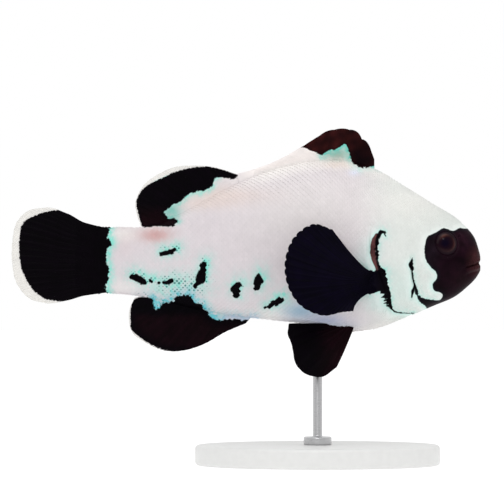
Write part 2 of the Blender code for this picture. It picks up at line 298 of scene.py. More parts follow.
def relief(points):
    """How far the features stand out of the plain body, or sink into it, at each of the points."""
    flat = side_view(points)
    behind, left, height = points.T
    # Lips: two soft rolls along the mouth line, with the slit between them and a crease round them.
    slope = (MOUTH_CORNER[1] - MOUTH_FRONT[1]) / MOUTH_CORNER[0]
    over_mouth = height - MOUTH_FRONT[1] - slope * behind
    off_mouth = np.abs(over_mouth)
    lips = ease(3.1, 1.9, behind)
    raised = lips * (0.24 * bell(off_mouth - 0.55, 0.36) - 0.1 * bell(off_mouth - 1.3, 0.22))
    raised -= 0.42 * ease(3.0, 2.3, behind) * bell(over_mouth / (0.1 + 0.12 * ease(1.2, 0.2, behind)), 1)
    raised -= 0.12 * bell(np.hypot(behind - 3.2, height + 2.6), 0.5)
    raised += 0.02 * lips * lip_folds(behind, left, height) * bell(off_mouth - 0.6, 0.45)
    # Eye sockets, with the soft rim of the orbit round each.
    for side in (1, -1):
        away = points - eye_centre(side)
        axis = eye_axis(side)
        radius = np.linalg.norm(away - (away @ axis)[:, None] * axis, axis=1)
        socket = -1.5 * ease(1.98, 1.6, radius) + 0.14 * bell(radius - 2.15, 0.25)
        raised += (left * side > 0) * (socket - 0.05 * bell(radius - 2.8, 0.3))
    # One nostril on each side: a small pit in a low collar.
    radius = np.linalg.norm(flat - NOSTRIL, axis=1)
    raised += 0.09 * bell(radius - 0.27, 0.13) - 0.3 * bell(radius, 0.15)
    # The bony rim of the cheek, and the gill cover's free edge over the gill opening.
    rim = distance_to_line(flat, CHEEK_EDGE)
    raised += ease(0.6, -2.0, height) * (0.1 * bell(rim - 0.4, 0.4) * (height > -7.6) - 0.14 * bell(rim, 0.2))
    gape = past_gill_edge(flat)
    cover = np.where(gape < 0, 0.3 * np.exp(gape / 2.4), -0.26 * np.exp(-gape / 1.5))
    cover = np.where(np.abs(gape) < 0.12, -gape / 0.12 * 0.28, cover)
    raised += ease(5.2, 3.2, height) * ease(-10.6, -9.0, height) * cover
    # The fleshy root of the pectoral fin.
    raised += 0.5 * bell(behind - PECTORAL_BASE[0], 1.7) * bell(height - PECTORAL_BASE[1], 2.2)
    return raised * ease(0.0, 0.3, behind)


def skin_at(behind, turn):
    """Points of the finished skin under the scales, and the directions out of it."""
    points = flank(behind, turn)
    normal = outward(behind, turn)
    places = points + normal * (relief(points) - SCALE_DEPTH)[:, None]
    # The lips' front is drawn back along the mouth line.
    places[:, 0] += 0.24 * bell(points[:, 2] + 1.38, 0.36) * ease(1.4, 0.2, points[:, 0])
    return places, normal


def vertex_places(piece):
    """Its vertices as an array, in metres."""
    places = np.empty(len(piece.data.vertices) * 3, np.float32)
    piece.data.vertices.foreach_get("co", places)
    return places.reshape(-1, 3).astype(float)


def move_vertices(piece, points):
    """Puts its vertices at those points of the fish."""
    piece.data.vertices.foreach_set("co", place(*points.T).astype(np.float32).ravel())
    piece.data.update()


def settle(piece, finish, slot, *nodes):
    """Gives a piece its finish and hides the solids that it stands for; slot is not used. The model is all
    one body.
    """
    piece.data.materials.append(finish)
    if nodes:
        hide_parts(*nodes)
    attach(piece, "root")


bpy.ops.mesh.primitive_uv_sphere_add(segments=SKIN_ROUND, ring_count=SKIN_RINGS, radius=1)
skin = bpy.context.object
skin.name = "skin"
ball = vertex_places(skin)
share = np.arccos(np.clip(ball[:, 2], -1, 1)) / math.pi
turn = np.arctan2(ball[:, 1], ball[:, 0])
# The rings lie closest on the face and round the gill opening.
ring_behind = np.where(
    share < 0.3, 10 * (share / 0.3) ** 1.6, np.interp(share, (0.3, 0.57, 1.0), (10.0, 20.5, SECTIONS[-1, 0]))
)
skin_points, _ = skin_at(ring_behind, turn)
for pole, inset in ((share < 1e-4, 0.45), (share > 1 - 1e-4, 0.1)):
    pole_behind = ring_behind[pole][0]
    back, belly, _, _ = section(pole_behind)
    skin_points[pole] = (pole_behind + inset, 0.0, (back + belly) / 2)
move_vertices(skin, skin_points)
bpy.ops.object.shade_smooth()


# ------------------------------------------------
# THE MARKINGS
# A pearly white fish with a black face, black fins and scattered black spots, each edged in sea green. Skin,
# scales and fins all take their markings from these shapes, drawn in side view as distances behind the nose
# and heights over the axis. A blot is a closed shape, and a stroke a line with half-widths.

MASK = (
    (-3.0, 4.8), (2.3, 4.5), (3.6, 4.6), (4.8, 4.12), (5.7, 4.43), (6.6, 4.55), (7.7, 3.88), (9.2, 3.1),
    (9.6, 1.7), (9.7, 0.4), (9.4, -1.0), (8.5, -2.2), (7.7, -3.0), (7.6, -4.0), (8.3, -5.0), (8.0, -6.1),
    (7.1, -6.4), (6.6, -6.9), (7.1, -7.7), (9.0, -7.6), (10.4, -7.1), (10.9, -6.3), (11.1, -6.6),
    (10.6, -7.9), (9.4, -8.9), (8.2, -10.0), (-3.0, -12.0),
)
SPINY_DORSAL_BLACK = (
    (17.4, 15.5), (17.4, 20.0), (20.0, 24.0), (26.0, 24.0), (31.4, 20.0), (31.6, 18.9), (31.2, 18.6),
    (29.2, 17.9), (27.6, 17.25), (27.2, 17.2), (26.0, 17.9), (24.9, 18.05), (23.5, 18.95), (23.2, 18.95),
    (22.85, 18.4), (22.4, 16.8), (21.9, 15.75), (21.2, 15.2), (20.4, 14.9), (19.4, 15.0), (18.3, 15.3),
)
SOFT_DORSAL_BLACK = (
    (41.6, 13.6), (42.4, 12.95), (43.5, 13.0), (44.8, 13.3), (45.5, 13.1), (45.8, 12.5), (46.2, 11.7),
    (47.6, 11.0), (48.8, 10.9), (50.3, 10.3), (51.2, 9.3), (52.6, 8.7), (54.2, 7.4), (54.0, 6.8),
    (53.4, 6.25), (52.4, 6.3), (51.9, 5.8), (52.3, 5.2), (53.5, 4.85), (55.1, 4.95), (57.8, 4.75),
    (58.2, 5.3), (58.7, 7.0), (59.05, 8.8), (58.5, 10.5), (57.7, 11.5), (56.5, 12.35), (54.7, 13.15),
    (52.7, 14.1), (50.4, 14.75), (48.6, 15.05), (46.8, 15.15), (45.5, 14.9), (43.9, 14.5), (42.5, 13.95),
)
ANAL_BLACK = (
    (38.5, -11.4), (41.0, -11.15), (41.7, -10.95), (43.6, -10.95), (44.4, -11.15), (45.6, -10.95),
    (46.5, -10.6), (46.7, -9.9), (47.4, -9.15), (48.1, -8.45), (49.0, -8.1), (49.4, -7.35),
    (49.9, -6.85), (51.0, -6.95), (52.0, -7.1), (52.5, -7.7), (53.7, -8.15), (54.6, -8.35), (55.1, -9.0),
    (55.7, -9.3), (55.95, -8.8), (56.1, -7.9), (56.6, -7.4), (58.2, -7.2), (59.3, -7.6), (59.85, -8.4),
    (60.05, -9.7), (60.05, -11.5), (59.95, -12.6), (59.1, -13.6), (57.6, -14.7), (55.8, -15.8),
    (54.0, -16.4), (52.4, -16.6), (50.9, -16.8), (48.0, -17.0), (42.0, -15.0),
)
TAIL_BLACK = (
    (63.7, 6.0), (65.5, 5.6), (68.0, 6.3), (70.0, 8.2), (71.6, 7.8), (72.9, 7.66), (74.2, 7.45),
    (75.5, 7.1), (76.7, 6.62), (77.7, 6.1), (78.5, 5.3), (78.95, 3.9), (79.1, 0.3), (78.6, -2.65),
    (77.6, -4.7), (76.3, -6.4), (75.0, -7.35), (74.1, -7.65), (72.6, -7.9), (71.0, -8.0), (68.0, -7.5),
    (64.1, -7.2), (64.35, -5.5), (64.05, -4.8), (63.65, -4.0), (63.85, -3.4), (63.7, -2.4), (64.05, -1.4),
    (64.15, -0.2), (64.0, 0.8), (63.5, 1.5), (63.25, 2.2), (63.85, 2.9), (63.65, 3.9), (63.65, 4.8),
)
PECTORAL_BLACK = (
    (16.3, -2.6), (17.7, -2.5), (18.6, -2.8), (21.0, -2.2), (24.0, -3.0), (22.5, -7.5), (20.2, -6.5),
    (18.9, -6.7), (17.4, -6.2), (16.2, -5.6),
)
GILL_BROWN = (
    (17.9, 3.5, 0.25), (18.3, 2.6, 0.4), (18.5, 1.5, 0.47), (18.55, 0.4, 0.47), (18.3, -0.9, 0.4),
    (17.8, -2.2, 0.3),
)
GILL_EDGING = (
    (16.3, 3.3, 0.16), (16.6, 3.95, 0.2), (17.2, 3.95, 0.34), (17.7, 3.0, 0.34), (17.85, 1.9, 0.32),
    (17.9, 0.7, 0.3), (17.8, -0.5, 0.3), (17.5, -1.7, 0.36), (17.0, -2.2, 0.44),
)
GILL_STROKE = (
    (17.4, -1.9, 0.35), (16.9, -3.4, 0.5), (16.3, -5.4, 0.6), (15.8, -7.4, 0.42), (15.5, -8.9, 0.28),
    (14.8, -9.7, 0.14), (13.8, -9.95, 0.1), (11.5, -10.0, 0.07),
)
CHEEK_STROKE = (
    (11.75, -0.5, 0.05), (12.05, -1.7, 0.42), (11.8, -2.7, 0.16), (11.65, -3.9, 0.2), (11.5, -4.6, 0.18),
    (11.2, -5.6, 0.2), (11.0, -6.5, 0.34),
)
CHEEK_BRANCH = ((11.3, -5.0, 0.12), (11.7, -6.2, 0.28), (11.9, -7.3, 0.08))
SPOTS_RIGHT = (
    ((54.7, 0.2, 0.4), (53.7, 0.35, 0.44), (52.5, 0.75, 0.46)),
    ((59.9, -3.7, 0.4), (59.1, -3.9, 0.66), (57.8, -4.5, 0.6)),
    ((56.6, -4.5, 0.3), (56.4, -4.5, 0.3)),
    ((55.2, -4.8, 0.26), (55.1, -4.8, 0.26)),
    ((54.3, -4.7, 0.3), (53.5, -4.7, 0.46), (52.8, -4.4, 0.36)),
    ((47.4, -1.5, 0.42), (47.7, -2.8, 0.66), (48.1, -4.3, 0.82), (49.1, -5.6, 0.3)),
    ((41.4, -5.1, 0.5), (42.1, -5.9, 0.8), (41.9, -6.8, 0.55)),
    ((38.2, -3.5, 0.4), (38.1, -4.5, 0.76), (38.4, -5.6, 0.6)),
    ((36.9, -9.0, 0.25), (35.6, -8.4, 0.5), (34.2, -7.7, 0.55)),
)
SPOTS_LEFT = (
    ((56.2, -0.4, 0.2), (55.3, 0.1, 0.32), (54.6, 0.2, 0.2)),
    ((58.6, -4.9, 0.3), (57.4, -4.6, 0.36)),
    ((52.9, -3.6, 0.2), (51.6, -3.9, 0.42), (50.6, -4.6, 0.2)),
    ((46.2, -3.9, 0.2), (45.7, -4.9, 0.5), (45.9, -6.0, 0.3)),
    ((44.0, 0.3, 0.15), (43.2, 0.7, 0.34)),
    ((39.6, -6.4, 0.5), (38.9, -7.2, 0.55)),
    ((35.4, -6.2, 0.25), (34.9, -7.2, 0.5), (35.2, -8.2, 0.25)),
)


OUTSIDE = -4.0  # the depth of a place that is well outside a shape


def rounded(outline, between=6):
    """A closed smooth line through the outline's places."""
    outline = np.array(outline, float)
    before, after, last = np.roll(outline, 1, 0), np.roll(outline, -1, 0), np.roll(outline, -2, 0)
    t = np.linspace(0, 1, between, endpoint=False)[:, None, None]
    bend = 2 * before - 5 * outline + 4 * after - last + t * (3 * (outline - after) + last - before)
    return (outline + 0.5 * t * (after - before + t * bend)).transpose(1, 0, 2).reshape(-1, 2)


def blot(points, outline):
    """How far inside a closed shape each side-view point lies. It is negative outside."""
    line = rounded(outline)
    depth = np.full(len(points), OUTSIDE)
    near = ((points > line.min(0) + OUTSIDE) & (points < line.max(0) - OUTSIDE)).all(axis=1)
    if not near.any():
        return depth
    behind, height = points[near].T
    inside = np.zeros(len(behind), bool)
    for (x0, y0), (x1, y1) in zip(line, np.roll(line, -1, 0)):
        run = (x1 - x0) * (height - y0) / (y1 - y0 if y1 != y0 else 1e-9) + x0
        inside ^= ((y0 > height) != (y1 > height)) & (behind < run)
    gap = distance_to_line(points[near], np.concatenate([line, line[:1]]))
    depth[near] = np.maximum(np.where(inside, gap, -gap), OUTSIDE)
    return depth


def stroke(points, line):
    """The same for a line whose third column is its half-width."""
    depth = np.full(len(points), OUTSIDE)
    for (t, gap), (_, _, start), (_, _, end) in zip(legs(points, line), line, line[1:]):
        depth = np.maximum(depth, start + (end - start) * t - gap)
    return depth


HALO_SHIFT = np.array((0.35, -0.4))  # the green lies mostly before and over a spot

# Colours of the pale skin, of the green round the black, and of the black.
PEARL = (0.69, 0.64, 0.665)
# Painted light: this white brightens the pale skin where the light falls most, along the back, the belly and
# in the white ovals.
PAINTED_LIGHT_WHITE = (0.86, 0.83, 0.80)
HEAD_PEARL = (0.735, 0.76, 0.735)
SEA_GREEN = (0.27, 0.72, 0.63)
# Painted shade: this blue and the lilac below it darken the belly under the pectoral fin, where its shade
# falls.
PAINTED_SHADE_BLUE = (0.30, 0.47, 0.60)
PAINTED_SHADE_LILAC = (0.38, 0.44, 0.62)
PALE_LILAC = (0.53, 0.56, 0.68)
WARM = (0.80, 0.60, 0.48)
FIN_WHITE = (0.86, 0.80, 0.78)
COLD_WHITE = (0.74, 0.77, 0.90)
BLUSH = (0.60, 0.35, 0.34)
GREY_GREEN = (0.31, 0.45, 0.38)
DULL_GREEN = (0.22, 0.53, 0.47)
MOUND_BLUE = (0.13, 0.54, 0.62)
BAND_TEAL = (0.16, 0.57, 0.49)
# Painted shade: this grey stands for the shade behind the pectoral fin's root.
PAINTED_SHADE_GREY = (0.40, 0.43, 0.47)
INK = (0.0009, 0.0002, 0.0012)
BLUE_INK = (0.0011, 0.0004, 0.0045)
SLATE_INK = (0.0035, 0.0050, 0.0085)
FACE_BROWN = (0.0062, 0.0011, 0.0037)
BROW_VIOLET = (0.0200, 0.0055, 0.0120)
CHEEK_SLATE = (0.0100, 0.0058, 0.0098)
LIP_BROWN = (0.045, 0.014, 0.0155)
DORSAL_BROWN = (0.027, 0.0045, 0.0045)
FIN_RED = (0.009, 0.0015, 0.003)
GILL_RED = (0.12, 0.045, 0.045)

# Soft ovals of colour on the pale skin, some of them painted light and shade: distance behind the nose,
# height, reach, rise, tint and amount.
PALE_OVALS = (
    # Painted light: the white ovals brighten the upper flank, the nape, the tail stalk and the belly.
    (29.0, 8.0, 11.0, 7.0, PAINTED_LIGHT_WHITE, 0.42),
    (12.0, 9.0, 6.5, 3.0, PAINTED_LIGHT_WHITE, 0.45),
    (61.0, -5.4, 4.0, 1.4, PAINTED_LIGHT_WHITE, 0.4),
    (61.8, 3.4, 3.0, 1.3, PAINTED_LIGHT_WHITE, 0.55),
    (35.6, -10.4, 3.0, 1.4, PAINTED_LIGHT_WHITE, 0.6),
    (44.0, 10.2, 7.0, 1.6, WARM, 0.3),
    (47.5, 8.6, 5.0, 1.0, WARM, 0.2),
    (55.7, 3.4, 2.7, 1.2, BLUSH, 0.9),
    (61.0, 1.6, 1.6, 2.0, BLUSH, 0.1),
    # Painted shade: blue and lilac under the pectoral fin, where its shade falls on the belly.
    (30.8, -9.6, 3.2, 1.5, PAINTED_SHADE_BLUE, 0.85),
    (26.6, -11.2, 3.6, 1.1, PAINTED_SHADE_LILAC, 0.7),
    (24.5, -12.2, 3.4, 0.6, PAINTED_SHADE_BLUE, 0.25),
    # Painted shade: grey behind the pectoral fin's root.
    (21.4, 0.0, 1.9, 2.6, PAINTED_SHADE_GREY, 0.05),
    (20.2, -0.4, 1.5, 2.6, SEA_GREEN, 0.14),
    (13.2, -5.4, 2.6, 3.4, SEA_GREEN, 0.12),
    (17.6, -8.6, 2.2, 1.2, SEA_GREEN, 0.2),
    (52.9, 7.5, 1.5, 0.9, DULL_GREEN, 0.9),
    (24.6, 17.3, 2.2, 1.1, GREY_GREEN, 0.95),
    (24.6, 15.5, 2.6, 0.7, WARM, 0.3),
    (21.7, 14.1, 0.9, 0.6, COLD_WHITE, 0.7),
)


def toward(colour, other, amount):
    """A colour drawn towards another, by its own amount at each point."""
    return colour + np.subtract(other, colour) * np.clip(amount, 0, 1)[:, None]


def tinted(colour, tints):
    for tint, amount in tints:
        colour = toward(colour, tint, amount)
    return colour


def gill_comb(behind, height, gape):
    """The gill cover's edge is a comb of small spines, black between them behind and white in front."""
    comb = 1 - np.abs(((height + 0.12 * behind + 0.12 * np.sin(2.3 * height)) / 0.6) % 1 - 0.5) * 2
    behind_edge = ease(-0.5, -0.2, gape) * ease(2.0, 1.3, gape)
    behind_edge = behind_edge * ease(-4.6, -5.4, height) * ease(-9.2, -8.4, height)
    before_edge = ease(-1.4, -1.0, gape) * ease(-0.1, -0.4, gape)
    before_edge = before_edge * ease(-9.5, -8.5, height) * ease(-9, -1, height)
    in_front = 0.24 * comb - 0.14 + 0.08 * np.sin(7.1 * height)
    return behind_edge * (1.4 * comb**0.9 - 0.3) + before_edge * in_front


def ovals_over(behind, height):
    """Makes soft ovals from their middle and how far they reach behind it and rise over it."""
    return lambda x, y, reach, rise: bell(behind - x, reach) * bell(height - y, rise)


def off(depth, reach):
    """1 inside a shape, falling away outside it."""
    return np.exp(np.minimum(depth, 0) / reach)


def black_shapes(points):
    """Depth inside each black shape, and inside the spots once they are shifted to where their green lies."""
    flat = side_view(points)
    behind, height = flat.T
    # No edge is quite smooth, for every scale takes its colour for itself.
    ripple = np.sin(9.5 * behind + 2.0 * np.sin(3.1 * height))
    ripple = ripple * np.sin(8.3 * height + 1.7 * np.sin(2.7 * behind))
    # Over the pectoral fin a white bulge of the gill cover pushes its black edging back.
    bulge = 1.5 * ovals_over(behind, height)(16.65, -1.25, 0.6, 0.75)
    gill = np.maximum(stroke(flat, GILL_STROKE), stroke(flat, GILL_EDGING))
    spots = around_spots = np.full(len(points), OUTSIDE)
    for side, marks in ((-1, SPOTS_RIGHT), (1, SPOTS_LEFT)):
        here = points[:, 1] * side >= 0
        for mark in marks:
            spots = np.maximum(spots, np.where(here, stroke(flat, mark), OUTSIDE))
            around_spots = np.maximum(around_spots, np.where(here, stroke(flat + HALO_SHIFT, mark), OUTSIDE))
    return {
        "mask": blot(flat, MASK) + 0.07 * ripple * ease(8.0, 9.0, behind),
        "spiny": blot(flat, SPINY_DORSAL_BLACK) + 0.04 * ripple,
        "soft": blot(flat, SOFT_DORSAL_BLACK) + 0.06 * ripple,
        "anal": blot(flat, ANAL_BLACK) + 0.19 * ripple * ease(57.0, 56.0, behind),
        "tail": blot(flat, TAIL_BLACK) + 0.09 * ripple,
        "pectoral": blot(flat, PECTORAL_BLACK),
        "gill": gill + (gill_comb(behind, height, past_gill_edge(flat)) - bulge),
        "membrane": stroke(flat, GILL_BROWN),
        "cheek": np.maximum(stroke(flat, CHEEK_STROKE), stroke(flat, CHEEK_BRANCH)),
        "spots": spots,
    }, around_spots


def dark_colour(shapes, behind, left, height):
    """Brown over the face, redder at the lips, and red-black in the fins."""
    oval = ovals_over(behind, height)
    mask = shapes["mask"]
    lips = ease(3.0, 0.7, np.hypot(behind - 0.2, (height + 1.0) * 0.75))
    on_folds = bell(np.abs(height + 1.4 + 0.3 * behind) - 0.6, 0.5)
    patchy = 0.72 + 0.28 * np.sin(2.1 * behind + 1.3 * height) * np.sin(1.9 * height - 0.9 * behind)
    return tinted(INK, (
        (FACE_BROWN, ease(-1, 1.0, mask)),
        (SLATE_INK, 0.8 * bell(mask, 0.4)),
        (BROW_VIOLET, 0.8 * oval(3.0, 2.4, 1.7, 1.7)),
        (CHEEK_SLATE, 0.8 * oval(8.6, 0.6, 1.4, 2.6)),
        (LIP_BROWN, 0.8 * lips * (1 + 0.35 * on_folds * lip_folds(behind, left, height))),
        (LIP_BROWN, 0.1 * oval(2.6, -4.2, 2.2, 1.6)),
        (DORSAL_BROWN, ease(-0.5, 0.3, shapes["spiny"]) * patchy * (1 - 0.85 * oval(20.4, 16.4, 2.4, 2.6))),
        (FIN_RED, 0.4 * ease(0, 2.0, shapes["anal"]) * ease(-9.5, -11, height)),
        (FIN_RED, 0.7 * ease(-9, -11, height) * ease(29, 24, behind)),
        (BLUE_INK, ease(-0.5, 0.1, shapes["pectoral"]) * ease(16.5, 19.0, behind)),
        (FIN_RED, 0.6 * ease(0, 0.6, shapes["soft"]) * ease(9.0, 6.0, height)),
        (GILL_RED, ease(-0.1, 0.12, shapes["membrane"]) * ease(0.1, -0.1, shapes["gill"])),
    ))


def pale_colour(behind, height):
    """Pearl, cooler on the head, with painted light in white along the back and the belly, under soft ovals
    of other tints, some of them painted light and shade.
    """
    oval = ovals_over(behind, height)
    back, belly, _, _ = section(behind)
    return tinted(PEARL, (
        (HEAD_PEARL, ease(23, 14, behind)),
        # Painted light: white along the back and the front of the belly, where the light wraps round the
        # body.
        (PAINTED_LIGHT_WHITE, (0.8 - 0.6 * ease(36, 42, behind)) * ease(2.6, 0.2, back - height) * ease(12, 22, behind)),
        (PAINTED_LIGHT_WHITE, 0.5 * ease(1.6, 0.1, height - belly) * ease(34, 28, behind)),
        (FIN_WHITE, ease(27.0, 29.0, behind) * ease(43.0, 38.0, behind) * ease(-0.1, 0.6, height - back)),
        *((tint, amount * oval(*where)) for *where, tint, amount in PALE_OVALS),
    ))


def green_round_black(shapes, around_spots, behind, height):
    """The green and how much of it shows. The fins' black has none at their outer margins."""
    oval = ovals_over(behind, height)
    over_back = height - section(behind)[0]
    by_anal = ease(-2.2, 0, shapes["anal"])
    green = tinted(SEA_GREEN, (
        (MOUND_BLUE, by_anal),
        (DULL_GREEN, oval(53.0, 7.0, 3.0, 2.0)),
        (BAND_TEAL, ease(-0.3, 0.3, over_back) * ease(27.5, 26.5, behind)),
        (PALE_LILAC, 0.85 * ease(45.2, 43.4, behind) * by_anal),
    ))
    under_eye = ease(6.0, 9.0, behind) * ease(0.5, -3.0, height)
    on_spiny = ease(28.4, 27.2, behind) * (0.35 + 0.65 * ease(-0.3, 0.2, over_back))
    on_soft = 0.8 * ease(44.0, 45.2, behind) * ease(57.0, 55.0, behind)
    on_soft = on_soft * ease(4.7, 5.6, height) * ease(14.0, 13.4, height)
    on_anal = ease(-12.2, -11.4, height) * ease(57.3, 56.3, behind)
    on_tail = 0.95 * ease(66.0, 65.0, behind)
    halos = [0.85 * off(around_spots, 0.7), 0.8 * oval(52.0, -5.4, 5.0, 2.3)]
    for name, amount, reach in (
        ("spiny", on_spiny, 0.75), ("soft", on_soft, 0.7), ("anal", on_anal, 1.1), ("tail", on_tail, 0.9),
    ):
        halos.append(amount * bell(np.minimum(shapes[name], 0), reach))
    for name, amount, reach in (
        ("pectoral", 0.6, 0.7), ("gill", 0.5, 0.55), ("cheek", 0.34, 0.4), ("membrane", 0.45, 0.5),
        ("mask", 0.08 + 0.4 * under_eye, 0.6),
    ):
        halos.append(amount * off(shapes[name], reach))
    return green, np.max(halos, axis=0)


def scale_shade_dots(anal, around_spots, behind, height):
    """Where scales bear a dot of painted shade near their free edge: over the rear flank, in a field of
    green.
    """
    return np.max([
        ovals_over(behind, height)(51.2, -5.3, 5.2, 2.6),
        off(anal, 0.9) * (height > -10.5),
        0.8 * off(around_spots, 0.6) * ease(30, 48, behind),
    ], axis=0)


def markings(points, greenness=1.0):
    """Depth inside the black, the dark colour, the pale one with its green and its painted light and shade,
    and where scales bear a dot of painted shade.
    """
    behind, height = side_view(points).T
    shapes, around_spots = black_shapes(points)
    green, halo = green_round_black(shapes, around_spots, behind, height)
    return (
        np.max(list(shapes.values()), axis=0),
        dark_colour(shapes, behind, points[:, 1], height),
        toward(pale_colour(behind, height), green, halo * greenness),
        scale_shade_dots(shapes["anal"], around_spots, behind, height),
    )


def give(piece, name, values):
    """Stores a number or a colour for each of the piece's vertices."""
    values = np.asarray(values, np.float32)
    if values.ndim == 1:
        piece.data.attributes.new(name, "FLOAT", "POINT").data.foreach_set("value", values)
        return
    rgba = np.column_stack([values, np.ones(len(values), np.float32)])
    piece.data.attributes.new(name, "FLOAT_COLOR", "POINT").data.foreach_set("color", rgba.ravel())


def paint(piece, ink, dark, pale):
    for name, values in (("ink", ink), ("dark", dark), ("pale", pale)):
        give(piece, name, values)


def attribute(tree, name, output="Fac"):
    return add(tree, "Attribute", {}, attribute_name=name).outputs[output]


def noise(tree, scale, detail):
    where = add(tree, "TexCoord", {}).outputs["Object"]
    return add(tree, "TexNoise", {"Vector": where, "Scale": scale, "Detail": detail})


def mix(tree, share, first, second):
    return add(tree, "Mix", {"Factor": share, "A": first, "B": second}, data_type="RGBA")


def colour_group():
    """Shader group: pale skin and dark ink parted along the ink's edge, with a fine mottle over both."""
    tree = bpy.data.node_groups.new("fish_colour", "ShaderNodeTree")
    for name, kind in (
        ("Ink", "Float"), ("Dark", "Color"), ("Pale", "Color"), ("Ragged", "Float"), ("Mottle", "Float"),
        ("Dark Mottle", "Float"),
    ):
        tree.interface.new_socket(name, in_out="INPUT", socket_type="NodeSocket" + kind)
    for name, kind in (("Colour", "Color"), ("Blackness", "Float")):
        tree.interface.new_socket(name, in_out="OUTPUT", socket_type="NodeSocket" + kind)
    given = tree.nodes.new("NodeGroupInput").outputs
    wobble = calculate(tree, "SUBTRACT", noise(tree, 2200.0, 2.0), 0.5)
    depth = calculate(tree, "MULTIPLY_ADD", wobble, given["Ragged"], given["Ink"])
    edge = {"Value": depth, "From Min": -0.06, "From Max": 0.06}
    blackness = add(tree, "MapRange", edge, interpolation_type="SMOOTHSTEP")
    mottle = noise(tree, 500.0, 4.0)
    tones = []
    for name, swing in (("Pale", given["Mottle"]), ("Dark", given["Dark Mottle"])):
        tone = add(tree, "MapRange", {
            "Value": mottle, "From Min": 0.3, "From Max": 0.7,
            "To Min": calculate(tree, "SUBTRACT", 1.0, swing), "To Max": calculate(tree, "ADD", 1.0, swing),
        })
        tones.append(add(tree, "VectorMath", {0: given[name], "Scale": tone}, operation="SCALE"))
    feed(tree.nodes.new("NodeGroupOutput"), {"Colour": mix(tree, blackness, *tones), "Blackness": blackness})
    return tree


FISH_COLOUR = colour_group()


def fish_finish(name, ragged, mottle, dark_mottle, grain_scale, grain_depth, rough_pale, rough_dark):
    """A material that takes the piece's markings, with a pearly sheen and a fine grain in the surface."""
    finish, tree, shader = principled(name, {"Specular IOR Level": 0.03})
    marks = {"Ink": attribute(tree, "ink"), "Dark": attribute(tree, "dark", "Color")}
    marks.update({"Pale": attribute(tree, "pale", "Color"), "Ragged": ragged, "Mottle": mottle})
    colour = add(tree, "Group", marks | {"Dark Mottle": dark_mottle}, node_tree=FISH_COLOUR)
    rough = {"Value": colour.outputs["Blackness"], "To Min": rough_pale, "To Max": rough_dark}
    bump = {"Height": noise(tree, grain_scale, 4.0), "Strength": 0.5, "Distance": grain_depth}
    feed(shader, {
        "Base Color": colour, "Roughness": add(tree, "MapRange", rough), "Normal": add(tree, "Bump", bump),
    })
    return finish, tree, shader, colour


paint(skin, *markings(skin_points)[:3])
settle(
    skin, fish_finish("fish_skin", 0.2, 0.03, 0.5, 3200.0, 0.00005, 0.42, 0.4)[0], "pale_skin",
    "head", "lower_jaw", "gill_cover_left", "gill_cover_right", "trunk", "tail_stalk",
)


# ------------------------------------------------
# THE EYES
# Each eye is a low dome sunk in its socket: a violet-black pupil in a thin brown-orange iris, all under a
# clear wet surface. It starts as a ball and is flattened along the axis it looks along.
EYE_DOME, EYE_BACK = 0.62, 1.5  # how far it reaches out of and into the head from its own middle
PUPIL_SHIFT = np.array((0.36, 0.0, 0.03))  # the pupil sits behind the middle of the eye


def ramp(tree, place_on, *stops):
    """Colours over one of the eye's own distances from its middle. A single number is a grey."""
    node = add(tree, "ValToRGB", {"Fac": attribute(tree, place_on)})
    elements = node.color_ramp.elements
    for element, (at, colour) in zip(elements, (stops[0], stops[-1])):
        element.position = at
        element.color = (*np.broadcast_to(colour, 3), 1)
    for at, colour in stops[1:-1]:
        elements.new(at).color = (*np.broadcast_to(colour, 3), 1)
    return node


def eye_finish():
    """The flesh of the pupil and iris, with the bright ring mixed in as painted light where the light falls
    on it.
    """
    finish, tree, shader = principled("eye_glaze", {
        "Roughness": 0.3, "Specular IOR Level": 0.02, "Coat Weight": 0.07, "Coat Roughness": 0.03,
    })
    flesh = ramp(
        tree, "from_pupil", (0.0, (0.0018, 0.0001, 0.0060)), (0.2, (0.0022, 0.0001, 0.0060)),
        (0.44, (0.0065, 0.0012, 0.0052)), (0.64, (0.0090, 0.0022, 0.0052)), (1.0, (0.0080, 0.0022, 0.0055)),
    )
    ring = ramp(
        tree, "from_axis", (0.0, (0.050, 0.010, 0.008)), (0.6, (0.060, 0.014, 0.009)),
        (0.75, (0.092, 0.043, 0.037)), (0.9, (0.060, 0.038, 0.040)), (1.0, (0.05, 0.035, 0.035)),
    )
    ring_band = ramp(
        tree, "from_axis", (0.0, 0), (0.50, 0), (0.62, 0.55), (0.72, 1), (0.82, 1), (0.92, 0.25), (1.0, 0)
    )
    flecks = add(tree, "MapRange", {"Value": noise(tree, 2600.0, 3.0), "To Min": 0.55, "To Max": 1.4})
    flecked = calculate(tree, "MULTIPLY", flecks, ring_band)
    painted_ring_light = calculate(tree, "MULTIPLY", flecked, attribute(tree, "painted_iris_light"))
    feed(shader, {"Base Color": mix(tree, painted_ring_light, flesh, ring)})
    return finish


